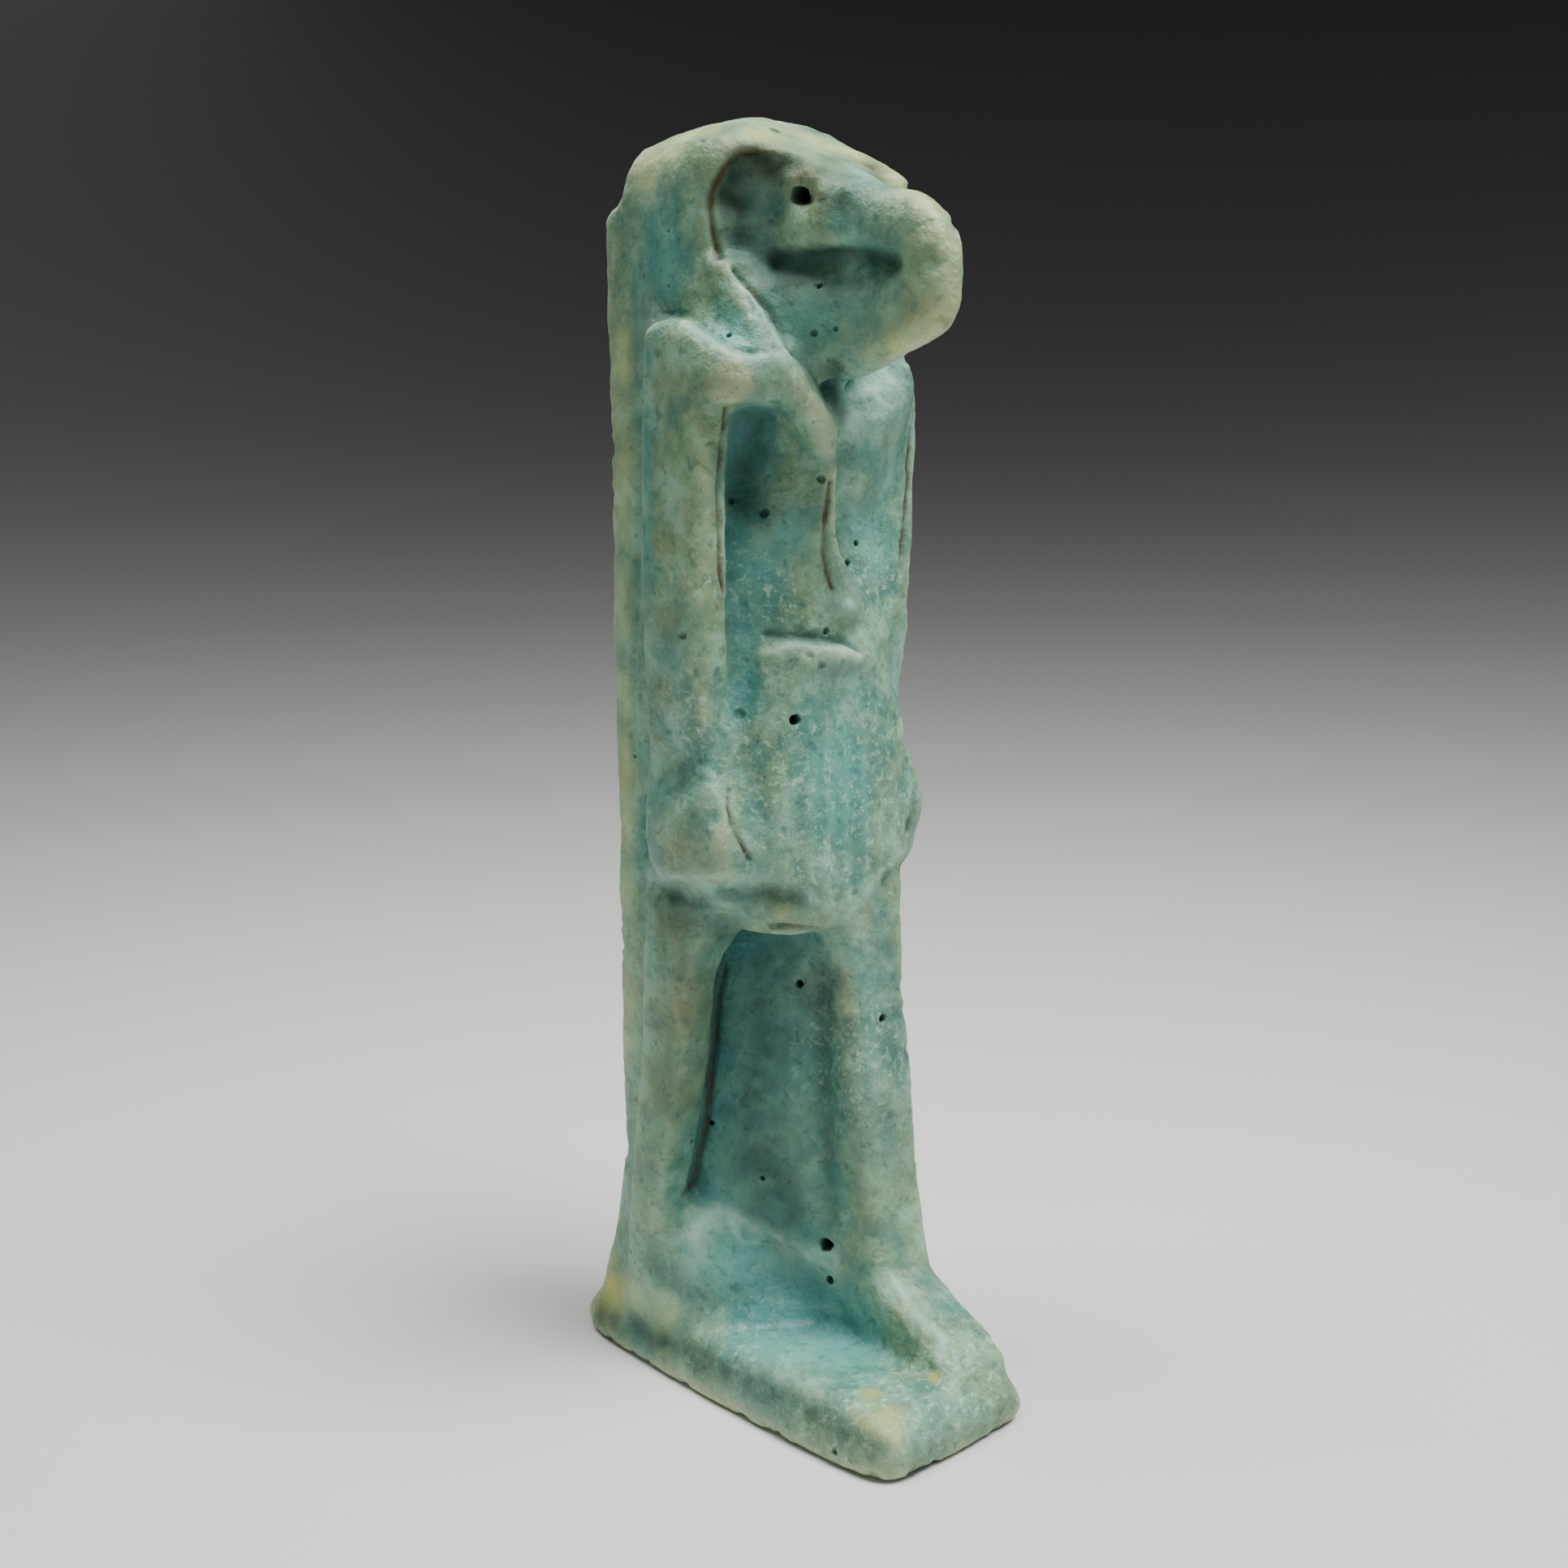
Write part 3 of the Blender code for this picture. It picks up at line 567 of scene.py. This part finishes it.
def stain(mesh, points, places):
    """Mark where dirt, chalky wear, yellow and olive tints and pooled glaze lie, and where shade is painted
    along the hollows and inside the holes.
    """
    blotch = grain(points, *BLOTCHES)
    fleck = grain(points, *FLECKS)
    dirt, cream, painted_shade, hole = np.zeros((4, len(points)))
    for line in DIRTY:
        dirt = np.maximum(dirt, places.along(points, *line) * (0.65 + 0.7 * fleck + 0.5 * blotch))
    for line in CREAMY:
        cream = np.maximum(cream, places.along(points, *line))
    # Painted shade along the lines where shade falls
    for line in PAINTED_SHADE_LINES:
        painted_shade = 1 - (1 - painted_shade) * (1 - places.along(points, *line))
    # Painted shade inside the holes, darker the deeper they are
    for distance, radius, depth in places.near_holes(points):
        inside = 1 - smooth_step(distance, 0.5 * radius, 1.1 * radius)
        hole = np.maximum(hole, inside * min(1, depth / FULL_SHADE_DEPTH))
    chalk = places.patches(points, CHALKY_SPOTS)
    for line in CHALKY:
        chalk += places.along(points, *line)
    pool = places.patches(points, POOLED_SPOTS, True)
    for line in POOLED:
        pool += places.along(points, *line)

    mark(mesh, "dirt", dirt)
    mark(mesh, "hole", hole)
    mark(mesh, "chalk", chalk * (0.8 + 0.7 * fleck + 0.3 * blotch))
    mark(mesh, "ochre", places.patches(points, OCHRE_SPOTS) * (0.8 + 0.5 * fleck))
    mark(mesh, "cream", cream * (0.7 + 0.5 * blotch + 0.3 * fleck))
    mark(mesh, "olive", places.patches(points, OLIVE_SPOTS, True) * (0.8 + 0.4 * blotch))
    mark(mesh, "painted_shade", painted_shade * (0.9 + 0.25 * fleck + 0.15 * blotch))
    mark(mesh, "grainy", LEAST_GRAINY + (1 - LEAST_GRAINY) * places.patches(points, GRAINY_SPOTS, True))
    mark(mesh, "pool", pool)


def inward_at(normals, near):
    """The way into the body, on average, where a few points lie."""
    inward = -normals[near].mean(axis=0)
    return inward / np.linalg.norm(inward)


def carve(piece, places):
    """Sharpen the mould's lines, and wear, chip and pit the skin."""
    mesh = piece.data
    points = vectors(mesh.vertices, "co")
    normals = vectors(mesh.vertex_normals, "vector")
    stain(mesh, points, places)
    start = points.copy()

    for centre, reach, depth in places.dents:
        distance = np.linalg.norm(start - centre, axis=1)
        points += (fade(distance, reach) * depth)[:, None] * inward_at(normals, distance < reach)
    for line in GROOVES:
        points -= places.along(start, *line)[:, None] * normals

    # Where the surface is broken or worn to the granular body
    rough = places.along(start, FOOT_RIDGE, BROKEN_REACH, 1.0)
    rough += places.along(start, LEFT_FOOT_RIDGE, BROKEN_REACH, 0.9)
    rough += places.patches(start, CHALKY_SPOTS)
    points += (np.clip(rough, 0, 1) * grains(start, LUMPS))[:, None] * normals
    edge = smooth_step(solid_share(mesh, start, 0.35, 0.14), 0.46, 0.3)
    chips = edge * smooth_step(grains(start, CHIPS), 0.25, 0.8)
    points -= (chips * CHIP_DEPTH)[:, None] * normals

    # The kilt's pleats, softer towards the belt and the sides
    forward = -start[:, 1]
    aside = np.abs(start[:, 0])
    folds = smooth_step(start[:, 2], HEM_LEVEL, HEM_LEVEL + HEM_FADE)
    folds *= smooth_step(start[:, 2], BELT_LEVEL, BELT_LEVEL - BELT_FADE)
    folds *= smooth_step(forward, PLEATS_START_FORWARD, PLEATS_FULL_FORWARD)
    folds *= smooth_step(aside, PLEATS_END_ASIDE, PLEATS_FULL_ASIDE)
    waves = np.cos(start[:, 0] / PLEAT_SPACING * 2 * math.pi)
    points += (folds * PLEAT_DEPTH * waves)[:, None] * normals

    points += grains(start, UNEVEN_SKIN)[:, None] * normals

    for distance, radius, depth in places.near_holes(start):
        near = distance < 1.3 * radius
        share = 1 - smooth_step(distance[near], 0.45 * radius, 1.05 * radius)
        points[near] += (share * depth)[:, None] * inward_at(normals, near)

    points[:, 2] = np.maximum(points[:, 2], 0)
    place_vertices(mesh, points)


def thin(piece):
    """Keep the triangles where the form needs them."""
    mesh = piece.data
    triangles = sum(len(face.vertices) - 2 for face in mesh.polygons)
    if triangles > MOST_TRIANGLES:
        modifier = piece.modifiers.new("thin", "DECIMATE")
        modifier.ratio = MOST_TRIANGLES / triangles
        modifier.use_collapse_triangulate = True
        settle(piece)


def solid_share(mesh, points, spread, step):
    """How much of the space round each point is solid: over a half in hollows, under a half on edges.

    Upright lines through a grid of cells find which of them are filled, and a bell of the given spread then
    blurs the cells.
    """
    low = points.min(axis=0) - 4 * spread - step
    count = np.ceil((points.max(axis=0) + 4 * spread + step - low) / step).astype(int)
    tree = BVHTree.FromPolygons([tuple(p) for p in points], [tuple(face.vertices) for face in mesh.polygons])
    filled = np.zeros(tuple(count), dtype=np.float32)
    centres = low[2] + (np.arange(count[2]) + 0.5) * step
    up = Vector((0, 0, 1))
    past_hit = up * 1e-4
    for i in range(count[0]):
        for j in range(count[1]):
            start = Vector((low[0] + (i + 0.5) * step, low[1] + (j + 0.5) * step, low[2]))
            inside = False
            while True:
                hit, _normal, _face, _length = tree.ray_cast(start, up)
                if hit is None:
                    break
                if inside:
                    filled[i, j, (centres > entered) & (centres < hit.z)] = 1
                entered = hit.z
                inside = not inside
                start = hit + past_hit
    reach = int(math.ceil(3 * spread / step))
    bell = np.exp(-0.5 * (np.arange(-reach, reach + 1) * step / spread) ** 2)
    bell /= bell.sum()
    for axis in range(3):
        filled = np.apply_along_axis(lambda row: np.convolve(row, bell, mode="same"), axis, filled)
    place = (points - low) / step - 0.5
    cell = np.clip(np.floor(place).astype(int), 0, count - 2)
    return blend_corners(filled, cell, np.clip(place - cell, 0, 1))


def weather(piece):
    """Mark where the glaze is worn pale, and where it lies deep and dark."""
    mesh = piece.data
    points = vectors(mesh.vertices, "co")
    close = solid_share(mesh, points, 0.3, 0.14)
    wide = solid_share(mesh, points, 1.0, 0.2)
    cloud = 0.03 * grain(points, *CLOUDS)
    mark(mesh, "worn", smooth_step(close + cloud, 0.44, 0.22))
    mark(mesh, "broad", smooth_step(wide + cloud, 0.42, 0.18))
    mark(mesh, "deep", smooth_step(wide + cloud, 0.50, 0.74))
    mark(mesh, "crevice", smooth_step(close, 0.55, 0.78))


def to_metres(piece):
    """Turn the finished mesh from millimetres into metres, and shade it softly."""
    mesh = piece.data
    place_vertices(mesh, vectors(mesh.vertices, "co") * METRES)
    mesh.shade_smooth()


def linear(red, green, blue):
    """A colour given as it looks on a screen, from 0 to 255, as the shader wants it."""
    return tuple((part / 255) ** 2.2 for part in (red, green, blue)) + (1,)


class Nodes:
    """A short way to lay out a material's nodes."""

    def __init__(self, name):
        self.material = bpy.data.materials.new(name)
        self.material.use_nodes = True
        self.tree = self.material.node_tree
        self.shader = self.tree.nodes["Principled BSDF"]

    def add(self, kind, inputs=(), **settings):
        node = self.tree.nodes.new(kind)
        for key, value in settings.items():
            setattr(node, key, value)
        for key, value in dict(inputs).items():
            if isinstance(value, bpy.types.NodeSocket):
                self.tree.links.new(value, node.inputs[key])
            else:
                node.inputs[key].default_value = value
        return node

    def attribute(self, name):
        return self.add("ShaderNodeAttribute", attribute_name=name).outputs["Fac"]

    def math(self, operation, first, second):
        return self.add("ShaderNodeMath", {0: first, 1: second}, operation=operation).outputs[0]

    def between(self, value, low, high, to_low=0.0, to_high=1.0):
        inputs = {"Value": value, "From Min": low, "From Max": high, "To Min": to_low, "To Max": to_high}
        return self.add("ShaderNodeMapRange", inputs).outputs["Result"]

    def mix(self, share, first, second):
        """A colour between two; the mix node's colour sockets have the numbers 6 and 7."""
        return self.add("ShaderNodeMix", {0: share, 6: first, 7: second}, data_type="RGBA").outputs[2]

    def noise(self, place, scale, detail, roughness):
        inputs = {"Vector": place, "Scale": scale, "Detail": detail, "Roughness": roughness}
        return self.add("ShaderNodeTexNoise", inputs).outputs["Fac"]


def faience():
    """Glaze that pools blue in the hollows and is worn pale and olive where it stands proud, with painted
    shade in hollows, under overhangs and inside holes.
    """
    nodes = Nodes("faience_glaze")
    place = nodes.add("ShaderNodeTexCoord").outputs["Object"]
    worn, broad, deep, crevice = (nodes.attribute(name) for name in ("worn", "broad", "deep", "crevice"))
    dirt, hole, chalk = (nodes.attribute(name) for name in ("dirt", "hole", "chalk"))
    ochre, cream, olive, pool = (nodes.attribute(name) for name in ("ochre", "cream", "olive", "pool"))
    painted_shade, grainy = (nodes.attribute(name) for name in ("painted_shade", "grainy"))

    upright = nodes.add("ShaderNodeMapping", {"Vector": place, "Scale": (1, 1, 0.4)}).outputs["Vector"]
    streak = nodes.noise(upright, 420, 4.0, 0.6)
    mottle = nodes.noise(place, 1100, 4.0, 0.65)
    fine = nodes.noise(place, 3600, 3.0, 0.6)
    sand = nodes.noise(place, 4800, 3.0, 0.7)
    speck = nodes.math("MULTIPLY", nodes.between(sand, 0.53, 0.67), grainy)
    pale = nodes.math("MULTIPLY", worn, nodes.between(mottle, 0.3, 0.55, 0.55, 1.0))

    # From the glaze itself to what lies on top of it: where each layer shows, how strongly, and its colour
    colour = nodes.mix(nodes.between(streak, 0.4, 0.6), linear(*BLUE_GLAZE), linear(*GREEN_GLAZE))
    layers = (
        (nodes.between(mottle, 0.5, 0.64), 0.7, PALE_MOTTLE),
        (nodes.between(mottle, 0.5, 0.36), 0.7, DARK_MOTTLE),
        (olive, 0.65, AGED_OLIVE),
        (pool, 0.65, POOLED_BLUE),
        (deep, 0.7, DEEP_TEAL),
        (crevice, 0.45, CREVICE_TEAL),
        (broad, 0.25, BROAD_WEAR),
        (pale, 0.6, WORN_EDGE),
        (speck, 0.6, WHITISH_GRAIN),
        (nodes.between(fine, 0.44, 0.30), 0.6, DARK_PORE),
        (chalk, 0.8, CHALK),
        (cream, 0.88, CREAM),
        (ochre, 0.65, OCHRE),
        # Painted shade where shade falls
        (painted_shade, 0.9, PAINTED_SHADE_COLOUR),
        (dirt, 1.0, BROWN_DIRT),
        # Painted shade inside the holes
        (hole, 1.0, PAINTED_HOLE_SHADE),
    )
    for share, strength, tint in layers:
        colour = nodes.mix(nodes.math("MULTIPLY", share, strength), colour, linear(*tint))

    small = nodes.math("ADD", fine, nodes.math("MULTIPLY", sand, 0.5))
    height = nodes.math("ADD", nodes.math("MULTIPLY", mottle, 2.0), small)
    bump = nodes.add("ShaderNodeBump", {"Height": height, "Strength": 1.0, "Distance": 0.00005})
    dull = nodes.math("ADD", nodes.math("MULTIPLY", chalk, 0.4), nodes.math("ADD", painted_shade, dirt))
    rough = nodes.between(nodes.math("ADD", mottle, dull), 0.3, 1.2, 0.36, 0.85)
    shader = nodes.shader
    nodes.tree.links.new(colour, shader.inputs["Base Color"])
    nodes.tree.links.new(bump.outputs["Normal"], shader.inputs["Normal"])
    nodes.tree.links.new(rough, shader.inputs["Roughness"])
    shader.inputs["IOR"].default_value = 1.5
    shader.inputs["Specular IOR Level"].default_value = 0.4
    shader.inputs["Subsurface Weight"].default_value = 0.2
    shader.inputs["Subsurface Radius"].default_value = (0.7, 1.0, 0.9)
    shader.inputs["Subsurface Scale"].default_value = 0.0004
    shader.inputs["Coat Weight"].default_value = 0.1
    shader.inputs["Coat Roughness"].default_value = 0.3
    return nodes.material


def paper_with_painted_falloff():
    """Pale paper with painted shade that darkens it far from the middle, standing in for the lamps' falloff.
    """
    paper = Nodes("paper_with_painted_falloff")
    place = paper.add("ShaderNodeTexCoord").outputs["Object"]
    reach = paper.add("ShaderNodeVectorMath", {0: place}, operation="LENGTH").outputs["Value"]
    # Painted shade: the paper darkens with the distance from the middle, in place of the lamps' falloff
    steps_out = paper.math("POWER", paper.math("DIVIDE", reach, PALE_REACH), DARKENING)
    share = paper.math("POWER", PALE_SHARE_THERE, steps_out)
    shade = paper.mix(share, PAINTED_FAR_SHADE, PALE_PAPER)
    paper.tree.links.new(shade, paper.shader.inputs["Base Color"])
    paper.shader.inputs["Roughness"].default_value = 0.9
    return paper.material


def backdrop():
    """A wide pale floor that curves up all round into a low wall."""
    profile = [(FLOOR_REACH / 2, 0.0), (FLOOR_REACH, 0.0)]
    bend = WALL_REACH - FLOOR_REACH
    for step in range(1, BEND_STEPS + 1):
        angle = math.pi / 2 * step / BEND_STEPS
        profile.append((FLOOR_REACH + bend * math.sin(angle), bend * (1 - math.cos(angle))))
    profile.append((WALL_REACH, WALL_TOP))
    body = bmesh.new()
    centre = body.verts.new((0, 0, 0))
    rings = []
    for reach, height in profile:
        ring = []
        for side in range(BACKDROP_SIDES):
            angle = 2 * math.pi * side / BACKDROP_SIDES
            ring.append(body.verts.new((reach * math.cos(angle), reach * math.sin(angle), height)))
        rings.append(ring)
    for side in range(BACKDROP_SIDES):
        body.faces.new((centre, rings[0][side], rings[0][(side + 1) % BACKDROP_SIDES]))
    for inner, outer in zip(rings, rings[1:]):
        for side in range(BACKDROP_SIDES):
            after = (side + 1) % BACKDROP_SIDES
            body.faces.new((inner[side], outer[side], outer[after], inner[after]))
    mesh = bpy.data.meshes.new("backdrop")
    body.to_mesh(mesh)
    body.free()
    mesh.shade_smooth()
    mesh.materials.append(paper_with_painted_falloff())
    piece = bpy.data.objects.new("backdrop", mesh)
    bpy.context.collection.objects.link(piece)


def lights():
    """Soft lamps from above and the sides, and a faint sky."""
    for name, (place, side, power, tint) in LAMPS.items():
        light = bpy.data.lights.new(name, "AREA")
        light.shape = "SQUARE"
        light.size = side * METRES
        light.energy = power
        light.color = tint
        stand = bpy.data.objects.new(name, light)
        stand.location = Vector(place) * METRES
        stand.rotation_euler = (Vector(LAMPS_AIM) - Vector(place)).to_track_quat("-Z", "Y").to_euler()
        stand.visible_camera = False
        bpy.context.collection.objects.link(stand)
    world = bpy.data.worlds.new("studio")
    world.use_nodes = True
    world.node_tree.nodes["Background"].inputs["Color"].default_value = SKY
    world.node_tree.nodes["Background"].inputs["Strength"].default_value = SKY_STRENGTH
    bpy.context.scene.world = world


def camera():
    """The photograph's camera."""
    data = bpy.data.cameras.new("photo_camera")
    data.sensor_width = SENSOR
    data.lens = CAMERA_LENS
    data.clip_start = NEAREST_METRES
    data.clip_end = FARTHEST_METRES
    stand = bpy.data.objects.new("photo_camera", data)
    stand.location = Vector(CAMERA_PLACE) * METRES
    stand.rotation_euler = (math.radians(90 - CAMERA_PITCH), 0, math.radians(CAMERA_AZIMUTH))
    bpy.context.collection.objects.link(stand)
    bpy.context.scene.camera = stand


camera()
lights()
backdrop()

amulet = fine_mesh(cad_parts["amulet"])
places = Places(Skin(amulet.data))
refine_holes(amulet, places)
carve(amulet, places)
thin(amulet)
weather(amulet)
to_metres(amulet)
amulet.data.materials.append(faience())
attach(amulet, "root")
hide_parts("amulet")

bpy.context.view_layer.update()
